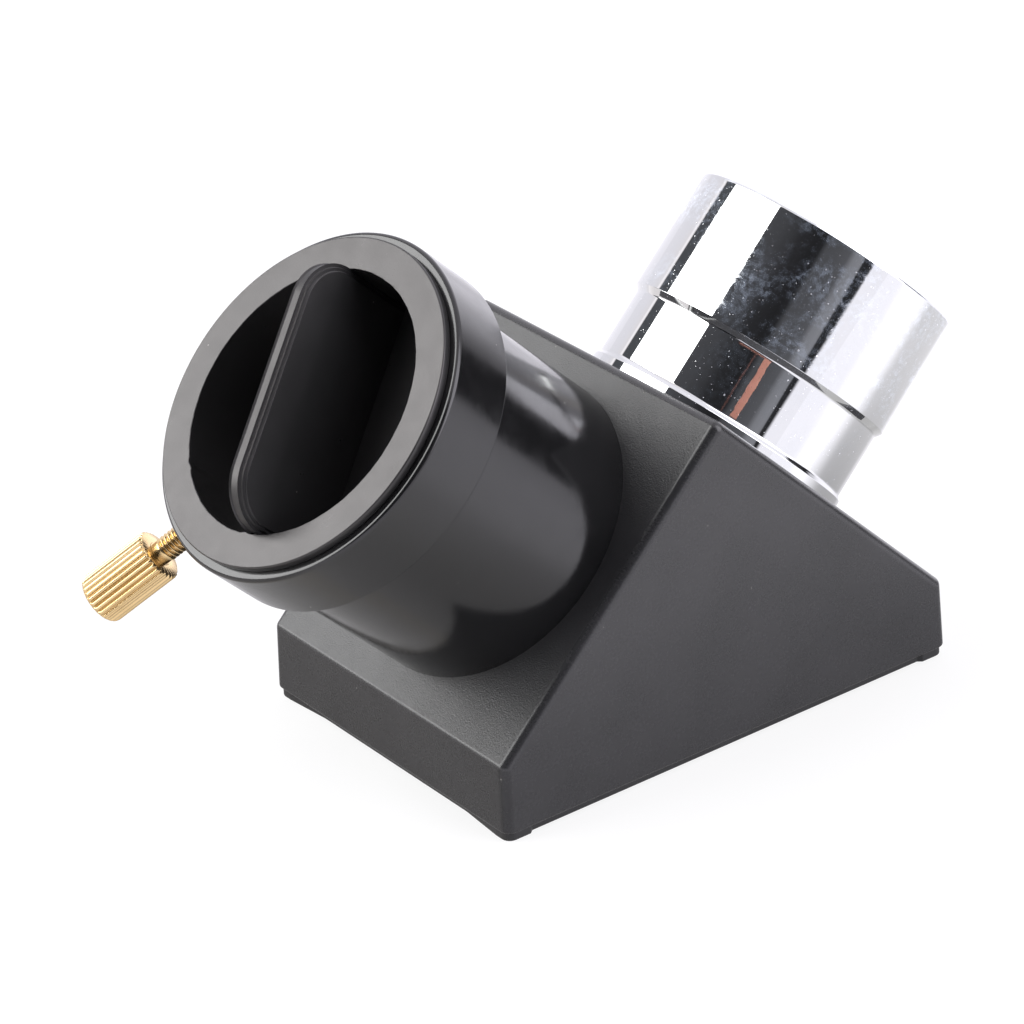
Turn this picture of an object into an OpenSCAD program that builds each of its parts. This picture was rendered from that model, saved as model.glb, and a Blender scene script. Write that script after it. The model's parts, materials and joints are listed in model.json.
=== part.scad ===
// Star diagonal for 31.75 mm (1.25 inch) telescope eyepieces.
// Right-angle housing with a flat mirror on its long side, an eyepiece holder
// on one 45 degree slope and a plated nosepiece on the other.
// Frame: Z up, origin on the resting face of the base cover, right below the
// point where both optical axes meet the mirror. -Y is the eyepiece side,
// +Y is the nosepiece side, X runs across the housing.
// Name endings: _w width, _l length, _h height, _t thickness, _r radius, _d depth.

/* [Housing] */
// Width of the housing at its foot
body_w = 43.0; // [42:0.1:44.4]
// Length of the housing at its foot
body_l = 60.7; // [60:0.1:62.4]
// Height at which the slopes would meet the foot's outline
end_h = 8.72; // [8.6:0.01:9.2]
// Radius of the outer edges
edge_r = 1.1; // [0.8:0.1:1.5]
// Thickness of the housing walls
wall = 2.5; // [2.2:0.1:2.7]
// How far the walls lean in from bottom to top
draft = 0.2; // [0:0.05:0.3]

/* [Base cover] */
// Visible thickness of the base cover
cover_t = 0.95; // [0.9:0.05:1.2]
// Inset of the cover's edge from the housing's sides
cover_inset = 0.7; // [0.6:0.05:1]
// Inset of the cover's four corner ears
ear_inset = 0.28; // [0.2:0.01:0.4]
// Length of each corner ear along the side
ear_len = 3; // [2:0.1:4]

/* [Mirror] */
// Size of the mirror across the housing
mirror_w = 32; // [29:0.5:32]
// Size of the mirror along the housing
mirror_l = 40; // [38.5:0.5:40]
// Thickness of the mirror glass
mirror_t = 4; // [3.5:0.1:4.2]
// Thickness of the felt pads under the glass
pad_t = 1; // [0.6:0.1:1.2]

/* [Eyepiece holder] */
// Height of the holder's rim above the slope
holder_h = 30.84; // [30:0.01:34]
// Outer radius of the holder's tube
tube_r = 17.6; // [17.4:0.1:18]
// Outer radius of the collar at the mouth
collar_r = 19.76; // [19.5:0.01:20.4]
// Length of the collar
collar_l = 7.93; // [7.5:0.01:9]
// Radius of the eyepiece bore
bore_r = 15.9; // [15.88:0.01:15.95]
// Depth of the eyepiece bore
bore_depth = 28; // [26:0.5:29]
// Radius of the clear light path through holder and nosepiece
clear_r = 13.5; // [12.5:0.1:13.5]

/* [Lock screw] */
// Depth of the screw's axis below the rim
screw_depth = 4.29; // [4:0.01:4.6]
// Clocking of the screw, from the slope's downhill line towards -X
screw_clock = 30.2; // [20:0.1:40]
// Radius of the knurled knob over the ridges
knob_r = 2.95; // [2.8:0.05:3.5]
// Length of the knob
knob_l = 8.8; // [8:0.1:10]
// Distance of the knob's inner face from the bore's axis
knob_at = 24.39; // [24:0.01:25]
// Number of knurl ridges
knurl_n = 28; // [20:1:32]
// Depth of the knurl
knurl_d = 0.26; // [0.15:0.01:0.3]
// Outer radius of the M3 stud
stud_r = 1.42; // [1.4:0.01:1.45]
// Gap between the stud's tip and the bore's wall at rest
stud_gap = 0.35; // [0.3:0.01:0.5]

/* [Dust plug] */
// Radius of the plug's flange
flange_r = 18.68; // [18:0.01:19.2]
// Thickness of the flange
flange_t = 0.97; // [0.8:0.01:1.2]
// Inner radius of the plug's cup
cup_r = 14.94; // [14.6:0.01:15]
// Length of the skirt below the rim
skirt_l = 9; // [8:0.1:9.2]
// Height of the grip tab above the flange
tab_h = 5.42; // [4:0.01:6]
// Thickness of the tab at its edge
tab_t = 1.25; // [1:0.05:1.5]
// Clocking of the tab, from the slope's uphill line towards -X
tab_clock = 19.4; // [0:0.1:40]

/* [Nosepiece] */
// Height of the nosepiece above the slope
nose_h = 24.49; // [24:0.01:28]
// Radius of the barrel
barrel_r = 15.85; // [15.8:0.01:15.87]
// Height at which the full barrel starts
barrel_from = 10.2; // [9.5:0.1:11]
// Radius of the recessed neck
neck_r = 15.33; // [15:0.01:15.5]
// Radius of the foot flange
foot_r = 15.73; // [15.6:0.01:15.9]
// Thickness of the foot flange
foot_t = 1.4; // [1:0.1:1.8]
// Radius of the 28.5 mm filter thread's crests
filter_r = 13.95; // [13.9:0.01:14]
// Length of the filter thread
filter_l = 5; // [3:0.1:6]

/* [Hidden] */
$fn = 96;
overlap = 0.01;

// Housing
ridge_h = end_h + body_l / 2;              // height of the sharp ridge line
seat_run = (body_l / 2 - draft) / sqrt(2); // ridge to tube axis, along a slope
half_w = body_w / 2 - wall;                // inner half width
half_l = body_l / 2 - wall;                // inner half length
boss_inset = 2.9;                          // boss axis from the inner walls
boss_x = half_w - boss_inset;
boss_y = half_l - boss_inset;
boss_z = 2.6;                              // underside of the screw bosses

// Tube spigots
spigot_l = 3.6;                            // length below the slope
spigot_edge = 0.4;
holder_spigot_r = 16.5;
nose_spigot_r = 14.8;

// Mirror mounting
mirror_z = end_h + draft;                  // reflecting face
deck_z = mirror_z - mirror_t - pad_t;      // where the pads sit
pad_y = 14;
clip_y = 22.1;                             // clip screw positions
clip_t = 0.4;

// Cover screws
screw_seat_z = 1.4;                        // top of the sunk screw head

// Lock screw; distances are from the bore's axis
screw_up = holder_h - screw_depth;         // screw axis above the slope
insert_r = 2.4;
insert_in = 16.35;
insert_out = 19.3;
socket_d = 4;                              // stud's reach into the knob

// ---- placement and outline helpers
module up(z) translate([0, 0, z]) children();
module holder_slope() up(ridge_h) rotate([45, 0, 0])
    translate([0, -seat_run, 0]) children();
module nose_slope() up(ridge_h) rotate([-45, 0, 0])
    translate([0, seat_run, 0]) children();
// Z points outward along the lock screw, from the bore's axis
module screw_axis() holder_slope() up(screw_up)
    rotate([90, 0, -screw_clock]) children();
module at_bosses() for (x = [-1, 1], y = [-1, 1])
    translate([x * boss_x, y * boss_y, 0]) children();
module at_clips() for (y = [-1, 1]) translate([0, y * clip_y, 0]) children();

function arc(centre, radius, angles) =
    [for (a = angles) centre + radius * [cos(a), sin(a)]];
function flip(points, x, y) = [for (p = points) [x * p[0], y * p[1]]];
function reversed(points) = [for (k = [len(points) - 1:-1:0]) points[k]];
// Closed outline from its +X +Y quarter, listed counterclockwise
function four_fold(quarter) =
    let (half = concat(quarter, reversed(flip(quarter, -1, 1))))
    concat(half, flip(half, -1, -1));

// ---- housing
module shell_outline() {
    corner_fn = 40;
    foot_h = 0.4;       // tapered edge at the foot
    foot_taper = 0.35;
    corner_x = body_w / 2 - edge_r;
    corner_y = body_l / 2 - edge_r;
    hull() for (x = [-1, 1]) {
        for (y = [-1, 1]) {
            translate([x * corner_x, y * corner_y, cover_t])
                cylinder(r1 = edge_r - foot_taper, r2 = edge_r, h = foot_h, $fn = corner_fn);
            translate([x * (corner_x - draft), y * (corner_y - draft),
                       end_h - edge_r * (sqrt(2) - 1) + draft])
                sphere(r = edge_r, $fn = corner_fn);
        }
        translate([x * (corner_x - draft), 0, ridge_h - edge_r * sqrt(2)])
            sphere(r = edge_r, $fn = corner_fn);
    }
}
module cavity() {
    top = ridge_h - wall * sqrt(2); // slope wall measured upright
    rotate([90, 0, 90]) up(-half_w) linear_extrude(2 * half_w)
        polygon([[-half_l, 0], [half_l, 0], [half_l, top - half_l],
                 [0, top], [-half_l, top - half_l]]);
}
// Ring inside a slope's wall, around a spigot
module spigot_ring(outer_r, spigot_r) {
    length = spigot_l - wall + 0.4;
    difference() {
        up(-spigot_l) cylinder(r = outer_r, h = length);
        up(-spigot_l - 1) cylinder(r = spigot_r - 1, h = length + 2);
    }
}
module spigot_hole(spigot_r) up(-8) cylinder(r = spigot_r + 0.03, h = 12);
// Screw bosses, each with two webs to the nearest walls
module bosses() {
    boss_r = 3;
    boss_h = 12;
    web_l = 3;
    web_t = 2;
    for (x = [-1, 1], y = [-1, 1]) translate([x * boss_x, y * boss_y, boss_z]) {
        cylinder(r = boss_r, h = boss_h);
        translate([x < 0 ? -web_l : 0, -web_t / 2, 0]) cube([web_l, web_t, boss_h]);
        translate([-web_t / 2, y < 0 ? -web_l : 0, 0]) cube([web_t, web_l, boss_h]);
    }
}
module housing() color([0.13, 0.13, 0.135]) difference() {
    union() {
        difference() {
            shell_outline();
            cavity();
        }
        intersection() {
            cavity();
            union() {
                holder_slope() spigot_ring(17.9, holder_spigot_r);
                nose_slope() spigot_ring(16.4, nose_spigot_r);
                bosses();
            }
        }
    }
    // clear everything level with the cover's plate
    up(cover_t - 10) cube([100, 100, 20], center = true);
    holder_slope() spigot_hole(holder_spigot_r);
    nose_slope() spigot_hole(nose_spigot_r);
    at_bosses() cylinder(r = 1.22, h = 9);
}

// ---- base cover, which also carries the mirror
module cover_outline() {
    side = body_w / 2;
    end = body_l / 2;
    ear_x = side - ear_inset;
    ear_y = end - ear_inset;
    polygon(four_fold(concat(
        [[side - cover_inset, ear_y - ear_len - 0.5], [ear_x, ear_y - ear_len]],
        arc([ear_x - edge_r, ear_y - edge_r], edge_r, [0:15:90]),
        [[ear_x - edge_r - 1, ear_y], [ear_x - edge_r - 7, end - cover_inset - 0.1]])));
}
module on_cover() up(cover_t - overlap) children();
// Locating wall inside the housing, open at the corners for the bosses
module locating_wall() {
    gap = 0.15;
    thick = 1.8;
    notch_w = 13;
    notch_h = 16;
    difference() {
        on_cover() linear_extrude(deck_z - cover_t + overlap) difference() {
            square(2 * [half_w - gap, half_l - gap], center = true);
            square(2 * [half_w - gap - thick, half_l - gap - thick], center = true);
        }
        for (x = [-1, 1], y = [-1, 1])
            translate([x * (half_w - 1), y * (half_l - 1), boss_z + notch_h / 2])
                cube([notch_w, notch_w, notch_h], center = true);
    }
}
// Ribs across the housing, under the pads
module pad_ribs() {
    rib_w = 6.6;
    end_gap = 1;
    for (y = [-pad_y, pad_y]) on_cover() translate([-half_w + end_gap, y - rib_w / 2, 0])
        cube([2 * (half_w - end_gap), rib_w, deck_z - cover_t + overlap]);
}
// Side rails that keep the glass central
module side_rails() {
    rail_l = 22;
    rail_t = 1.6;
    gap = 0.1;
    drop = 1.5; // from the mirror's face to the rail's top
    for (x = [-1, 1]) on_cover()
        translate([x * (mirror_w / 2 + gap + rail_t / 2) - rail_t / 2, -rail_l / 2, 0])
            cube([rail_t, rail_l, mirror_z - drop - cover_t]);
}
module base_cover() color([0.11, 0.11, 0.115]) difference() {
    union() {
        linear_extrude(cover_t) cover_outline();
        locating_wall();
        // screw lands under the bosses
        at_bosses() on_cover() cylinder(r = 2.7, h = boss_z - cover_t + overlap);
        pad_ribs();
        side_rails();
        // posts for the mirror clips
        at_clips() on_cover() cylinder(r = 1.8, h = mirror_z - cover_t + overlap);
    }
    // counterbored holes for the cover screws
    at_bosses() {
        up(-1) cylinder(r = 2.45, h = screw_seat_z + 1);
        cylinder(r = 1.45, h = 6);
    }
    at_clips() up(mirror_z - 5) cylinder(r = 0.97, h = 6);
}
module cover_screws() {
    head_r = 2.25;
    head_z = 0.25;      // head's outer face
    bevel_h = 0.3;
    rim_z = head_z + bevel_h;
    shank_r = 1.2;
    shank_l = 6.4;
    shank_z = screw_seat_z - 0.1;
    slot_l = 2.7;       // arms of the cross recess
    slot_w = slot_l * 2 / 9;
    slot_d = 0.75;
    color([0.1, 0.1, 0.1]) at_bosses() difference() {
        union() {
            up(head_z) cylinder(r1 = 2, r2 = head_r, h = bevel_h);
            up(rim_z) cylinder(r = head_r, h = screw_seat_z - rim_z);
            up(shank_z) cylinder(r = shank_r, h = shank_l);
            up(shank_z + shank_l - overlap) cylinder(r1 = shank_r, r2 = 0.6, h = 0.6);
        }
        up(head_z) for (a = [0, 90]) rotate([0, 0, a])
            translate([-slot_l / 2, -slot_w / 2, -overlap])
                cube([slot_l, slot_w, slot_d + overlap]);
    }
}

// ---- mirror and the pieces that hold it
module flat_mirror() {
    corner_cut = 2;
    side = mirror_w / 2;
    end = mirror_l / 2;
    color([0.85, 0.88, 0.9]) up(mirror_z - mirror_t) linear_extrude(mirror_t)
        polygon(four_fold([[side, end - corner_cut], [side - corner_cut, end]]));
}
module mirror_pads() color([0.25, 0.22, 0.2])
    for (place = [[-10, -pad_y], [10, -pad_y], [0, pad_y]])
        translate([place[0], place[1], deck_z]) cylinder(r = 3, h = pad_t);
module clip_outline() {
    width = 8;
    length = 5.3;
    corner_r = 1;
    square([width - 2 * corner_r, length], center = true);
    square([width, length - 2 * corner_r], center = true);
    for (x = [-1, 1], y = [-1, 1])
        translate([x * (width / 2 - corner_r), y * (length / 2 - corner_r)])
            circle(r = corner_r);
}
module mirror_clips() {
    reach = 1.05; // clip's centre from its screw, towards the mirror
    color([0.7, 0.7, 0.72]) for (y = [-1, 1]) difference() {
        translate([0, y * (clip_y - reach), mirror_z]) linear_extrude(clip_t) clip_outline();
        translate([0, y * clip_y, mirror_z - 1]) cylinder(r = 1.1, h = 3);
    }
}
module clip_screws() {
    head_r = 1.6;
    head_h = 0.6;       // below the head's bevel
    shank_l = 4.6;
    slot_w = 0.4;
    slot_l = 4;
    color([0.6, 0.6, 0.62]) at_clips() up(mirror_z + clip_t) difference() {
        union() {
            cylinder(r = head_r, h = head_h);
            up(head_h - overlap) cylinder(r1 = head_r, r2 = 1.2, h = 0.3);
            up(-shank_l) cylinder(r = 0.95, h = shank_l + 0.1);
        }
        up(0.3) translate([-slot_w / 2, -slot_l / 2, 0]) cube([slot_w, slot_l, 2]);
    }
}

// Profiles below are [radius, distance along the axis].

// ---- eyepiece holder
module holder_profile() {
    collar_z = holder_h - collar_l;
    rim_r = 0.8;                        // rounding of the collar's rim
    mouth_edge = 0.25;
    groove_z = holder_h - 10;           // middle of the groove in the bore
    groove_r = bore_r + 0.35;
    bore_end = holder_h - bore_depth;
    polygon([
        // spigot
        [clear_r, -spigot_l], [holder_spigot_r - spigot_edge, -spigot_l],
        [holder_spigot_r, -spigot_l + spigot_edge], [holder_spigot_r, 0],
        // tube and collar
        [tube_r, 0], [tube_r, collar_z - 0.3], [tube_r + 0.3, collar_z],
        [collar_r - 0.6, collar_z], [collar_r - 0.18, collar_z + 0.17],
        [collar_r, collar_z + 0.6],
        each arc([collar_r - rim_r, holder_h - rim_r], rim_r, [0:15:90]),
        // bore, from the mouth down
        [bore_r + mouth_edge, holder_h], [bore_r, holder_h - mouth_edge],
        [bore_r, groove_z + 0.5], [groove_r, groove_z + 0.3],
        [groove_r, groove_z - 0.3], [bore_r, groove_z - 0.5],
        [bore_r, bore_end], [clear_r + 0.4, bore_end], [clear_r, bore_end - 0.4]]);
}
module eyepiece_holder() color([0.09, 0.09, 0.095]) difference() {
    holder_slope() rotate_extrude() holder_profile();
    screw_axis() {
        up(insert_in) cylinder(r = insert_r, h = 6);
        up(14) cylinder(r = stud_r + 0.2, h = 6);
    }
}
module lock_insert() {
    hole_r = stud_r + 0.05;
    color([0.75, 0.6, 0.25]) screw_axis() difference() {
        up(insert_in) cylinder(r = insert_r, h = insert_out - insert_in);
        up(insert_in - 1) cylinder(r = hole_r, h = 10);
        up(insert_out - 0.35) cylinder(r1 = hole_r, r2 = stud_r + 0.5, h = 0.36);
    }
}

// ---- lock screw: threaded stud and knurled knob
module lock_stud() {
    tip = bore_r + stud_gap;
    tip_edge = 0.4;
    groove_r = stud_r - 0.12; // shallow groove next to the knob
    color([0.8, 0.62, 0.2]) screw_axis() rotate_extrude() polygon([
        [0, tip], [stud_r - tip_edge, tip], [stud_r, tip + tip_edge],
        [stud_r, knob_at - 0.9], [groove_r, knob_at - 0.7], [groove_r, knob_at - 0.2],
        [stud_r, knob_at], [stud_r, knob_at + socket_d], [0, knob_at + socket_d]]);
}
module lock_knob() {
    // one knurl ridge: [fraction of the pitch, depth below the crest]
    ridge = [[0, 0], [0.28, 0], [0.5, knurl_d], [0.78, knurl_d]];
    knob_end = knob_at + knob_l;
    envelope_r = knob_r + 0.1;
    color([0.8, 0.62, 0.2]) screw_axis() difference() {
        intersection() {
            up(knob_at) linear_extrude(knob_l)
                polygon([for (i = [0:knurl_n - 1], point = ridge)
                    let (a = 360 / knurl_n * (i + point[0]))
                    (knob_r - point[1]) * [cos(a), sin(a)]]);
            // bevels at both ends
            rotate_extrude() polygon([
                [0, knob_at], [knob_r - 0.3, knob_at], [envelope_r, knob_at + 0.4],
                [envelope_r, knob_end - 0.75], [knob_r - 0.3, knob_end - 0.3],
                [knob_r - 0.8, knob_end], [0, knob_end]]);
        }
        up(knob_at - 1) cylinder(r = stud_r + 0.03, h = socket_d + 1.05);
    }
}

// ---- dust plug: flange, cup and grip tab
floor_t = 1;
// Stacked tab plates: [added thickness, inset of the edge, bite into the cup's wall]
tab_plates = [[0, 0, 0.4], [0.5, 0.4, 0], [0.9, 0.8, 0]];
// Upright plate standing in the cup's floor; Z = 0 is the flange's top
module tab_plate(thick, inset, bite) {
    half = cup_r - inset + bite;
    foot = floor_t - 0.5 - skirt_l - flange_t;
    round_x = cup_r - tab_h;
    round_r = tab_h - inset;
    translate([0, thick / 2, 0]) rotate([90, 0, 0]) linear_extrude(thick)
        polygon(concat([[-half, foot], [half, foot], [half, -0.2]],
            arc([round_x, 0], round_r, [0:10:90]),
            arc([-round_x, 0], round_r, [90:10:180]),
            [[-half, -0.2]]));
}
module dust_plug() {
    skirt_r = bore_r - 0.05;
    color([0.2, 0.2, 0.205]) holder_slope() up(holder_h) {
        rotate_extrude() polygon([
            // skirt
            [0, -skirt_l], [bore_r - 0.6, -skirt_l], [skirt_r, -skirt_l + 1],
            [skirt_r, -0.2], [bore_r + 0.1, 0],
            // flange
            [flange_r - 0.1, 0], [flange_r, 0.1],
            [flange_r, flange_t - 0.18], [flange_r - 0.18, flange_t],
            // cup
            [cup_r + 0.12, flange_t], [cup_r, flange_t - 0.12],
            [cup_r, -skirt_l + floor_t], [0, -skirt_l + floor_t]]);
        up(flange_t) rotate([0, 0, tab_clock + 90])
            for (plate = tab_plates) tab_plate(tab_t + plate[0], plate[1], plate[2]);
    }
}

// ---- nosepiece
module nosepiece() {
    inner_r = clear_r + 0.1; // between the foot and the filter thread
    mouth_edge = 0.35;
    thread_z = nose_h - filter_l;
    color([0.8, 0.81, 0.82]) nose_slope() rotate_extrude() polygon([
        // spigot and foot flange
        [clear_r, -spigot_l], [nose_spigot_r - spigot_edge, -spigot_l],
        [nose_spigot_r, -spigot_l + spigot_edge], [nose_spigot_r, 0],
        [foot_r, 0], [foot_r, foot_t - 0.15], [foot_r - 0.12, foot_t],
        // neck
        [neck_r + 0.22, foot_t + 0.25], [neck_r + 0.08, foot_t + 0.6], [neck_r, foot_t + 1],
        [neck_r, barrel_from - 0.47], [neck_r + 0.08, barrel_from - 0.25],
        [neck_r + 0.26, barrel_from - 0.1],
        // barrel
        [barrel_r, barrel_from], [barrel_r, nose_h - 0.35],
        [barrel_r - 0.1, nose_h - 0.1], [barrel_r - 0.35, nose_h],
        // inside, from the mouth down
        [filter_r + mouth_edge, nose_h], [filter_r, nose_h - mouth_edge],
        [filter_r, thread_z], [inner_r, thread_z - 0.1],
        [inner_r, foot_t], [clear_r, foot_t - 0.1]]);
}

housing();
base_cover();
cover_screws();
flat_mirror();  // mirror
mirror_pads();
mirror_clips();
clip_screws();
eyepiece_holder();
lock_insert();
lock_stud();
lock_knob();
dust_plug();
nosepiece();
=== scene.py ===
import json
import math
import bmesh
import bpy
from mathutils import Matrix, Vector


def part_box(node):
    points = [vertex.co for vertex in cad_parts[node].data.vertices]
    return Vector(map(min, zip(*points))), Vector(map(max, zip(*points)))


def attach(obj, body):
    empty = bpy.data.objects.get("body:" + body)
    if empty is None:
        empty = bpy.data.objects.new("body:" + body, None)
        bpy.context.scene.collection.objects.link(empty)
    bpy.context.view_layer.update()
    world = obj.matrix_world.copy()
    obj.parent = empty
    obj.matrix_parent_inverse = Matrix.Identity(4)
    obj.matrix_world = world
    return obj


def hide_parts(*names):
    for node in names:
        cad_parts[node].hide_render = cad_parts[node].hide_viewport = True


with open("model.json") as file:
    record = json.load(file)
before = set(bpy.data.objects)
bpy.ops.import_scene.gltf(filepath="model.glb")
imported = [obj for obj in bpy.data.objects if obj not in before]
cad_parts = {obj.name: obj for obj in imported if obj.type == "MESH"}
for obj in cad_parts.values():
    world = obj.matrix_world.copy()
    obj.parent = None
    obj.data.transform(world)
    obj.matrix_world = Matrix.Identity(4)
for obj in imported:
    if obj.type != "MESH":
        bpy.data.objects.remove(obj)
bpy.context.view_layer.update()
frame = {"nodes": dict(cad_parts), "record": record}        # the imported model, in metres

MM = 0.001
S = math.sqrt(0.5)
rec = frame["record"]
nodes = frame["nodes"]
mounts = {m["name"]: m for m in rec["mounts"]}
joints = {j["name"]: j for j in rec["behaviour"]["joints"]}


def basis(origin, z, x):
    """A frame with its z axis along z and its x axis near x."""
    z = Vector(z).normalized()
    x = Vector(x)
    x = (x - z * x.dot(z)).normalized()
    y = z.cross(x)
    m = Matrix((x, y, z)).transposed().to_4x4()
    m.translation = Vector(origin)
    return m


# Frames of the two tubes (origin where the axis meets the slope) and of the lock screw
HOLDER_H, NOSE_H = 30.84, 24.49
ef = Vector(mounts["eyepiece_bore"]["axis"]).normalized()
eb = Vector(mounts["nosepiece_barrel"]["axis"]).normalized()
P1 = Vector(mounts["eyepiece_bore"]["pos_m"]) - ef * (HOLDER_H - 19.25) * MM
P2 = Vector(mounts["nosepiece_barrel"]["pos_m"]) - eb * 17.2 * MM
FRONT = basis(P1, ef, (1, 0, 0))
BACK = basis(P2, eb, (1, 0, 0))
screw_dir = Vector(joints["lock_screw_turn"]["axis"]).normalized()
SCREW = basis(Vector(joints["lock_screw_turn"]["pos_m"]), screw_dir, ef)


# ------------------------------------------------------------------ geometry
def fillet(points, steps=6):
    """A closed outline of (r, z) or (r, z, radius) with its corners rounded."""
    out = []
    n = len(points)
    for i, p in enumerate(points):
        rad = p[2] if len(p) > 2 else 0
        c = Vector(p[:2])
        if not rad:
            out.append(c)
            continue
        a = (Vector(points[i - 1][:2]) - c)
        b = (Vector(points[(i + 1) % n][:2]) - c)
        la, lb = a.length, b.length
        a.normalize()
        b.normalize()
        ang = math.acos(max(-1, min(1, a.dot(b))))
        cut = min(rad / math.tan(ang / 2), la * 0.49, lb * 0.49)
        rad = cut * math.tan(ang / 2)
        mid = c + (a + b).normalized() * (rad / math.sin(ang / 2))
        s, e = c + a * cut - mid, c + b * cut - mid
        t0 = math.atan2(s.y, s.x)
        dt = (math.atan2(e.y, e.x) - t0 + math.pi) % (2 * math.pi) - math.pi
        for k in range(steps + 1):
            t = t0 + dt * k / steps
            out.append(mid + Vector((math.cos(t), math.sin(t))) * rad)
    return out


def densify(points, limit):
    """The same outline with no straight run longer than limit."""
    out = []
    for i, p in enumerate(points):
        q = points[(i + 1) % len(points)]
        k = max(1, math.ceil((q - p).length / limit))
        out += [p.lerp(q, j / k) for j in range(k)]
    return out


def finish_mesh(bm, name, matrix, angle=32):
    bmesh.ops.remove_doubles(bm, verts=bm.verts, dist=1e-7)
    bmesh.ops.recalc_face_normals(bm, faces=bm.faces)
    mesh = bpy.data.meshes.new(name)
    bm.to_mesh(mesh)
    bm.free()
    mesh.transform(matrix)
    for p in mesh.polygons:
        p.use_smooth = True
    mesh.set_sharp_from_angle(angle=math.radians(angle))
    o = bpy.data.objects.new(name, mesh)
    bpy.context.scene.collection.objects.link(o)
    return o


def lathe(name, outline, matrix, seg=192, angle=32):
    """A solid of revolution from a closed outline in mm."""
    bm = bmesh.new()
    rings = []
    for p in outline:
        if p[0] < 1e-6:
            rings.append([bm.verts.new((0, 0, p[1] * MM))])
        else:
            rings.append([bm.verts.new((p[0] * MM * math.cos(2 * math.pi * k / seg),
                                        p[0] * MM * math.sin(2 * math.pi * k / seg), p[1] * MM))
                          for k in range(seg)])
    for i, a in enumerate(rings):
        b = rings[(i + 1) % len(rings)]
        if len(a) == 1 and len(b) == 1:
            continue
        for k in range(seg):
            l = (k + 1) % seg
            if len(a) == 1:
                bm.faces.new((a[0], b[k], b[l]))
            elif len(b) == 1:
                bm.faces.new((a[k], b[0], a[l]))
            else:
                bm.faces.new((a[k], b[k], b[l], a[l]))
    return finish_mesh(bm, name, matrix, angle)


def grid_of_revolution(name, zs, radius, matrix, seg, angle=40, bore=None, depth=None):
    """A closed turned body whose radius is radius(theta, z), in mm, with an optional blind bore from its low end."""
    bm = bmesh.new()
    rings = []
    for z in zs:
        rings.append([bm.verts.new((radius(2 * math.pi * k / seg, z) * MM * math.cos(2 * math.pi * k / seg),
                                    radius(2 * math.pi * k / seg, z) * MM * math.sin(2 * math.pi * k / seg), z * MM))
                      for k in range(seg)])
    for a, b in zip(rings, rings[1:]):
        for k in range(seg):
            l = (k + 1) % seg
            bm.faces.new((a[k], a[l], b[l], b[k]))
    if bore:
        inner = [[bm.verts.new((bore * MM * math.cos(2 * math.pi * k / seg), bore * MM * math.sin(2 * math.pi * k / seg), z * MM))
                  for k in range(seg)] for z in (zs[0], zs[0] + depth)]
        for k in range(seg):
            l = (k + 1) % seg
            bm.faces.new((rings[0][l], rings[0][k], inner[0][k], inner[0][l]))
            bm.faces.new((inner[0][l], inner[0][k], inner[1][k], inner[1][l]))
        bm.faces.new(inner[1])
    else:
        bm.faces.new(list(reversed(rings[0])))
    bm.faces.new(rings[-1])
    return finish_mesh(bm, name, matrix, angle)


def apply_modifiers(o):
    dg = bpy.context.evaluated_depsgraph_get()
    dg.update()
    mesh = bpy.data.meshes.new_from_object(o.evaluated_get(dg), depsgraph=dg)
    o.modifiers.clear()
    o.data = mesh
    return o


def boolean(o, other, how):
    m = o.modifiers.new("cut", "BOOLEAN")
    m.operation = how
    m.solver = "EXACT"
    m.object = other
    apply_modifiers(o)
    bpy.data.objects.remove(other)
    return o


def even_normals(o):
    m = o.modifiers.new("normals", "WEIGHTED_NORMAL")
    m.keep_sharp = True
    m.weight = 60
    return o


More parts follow.
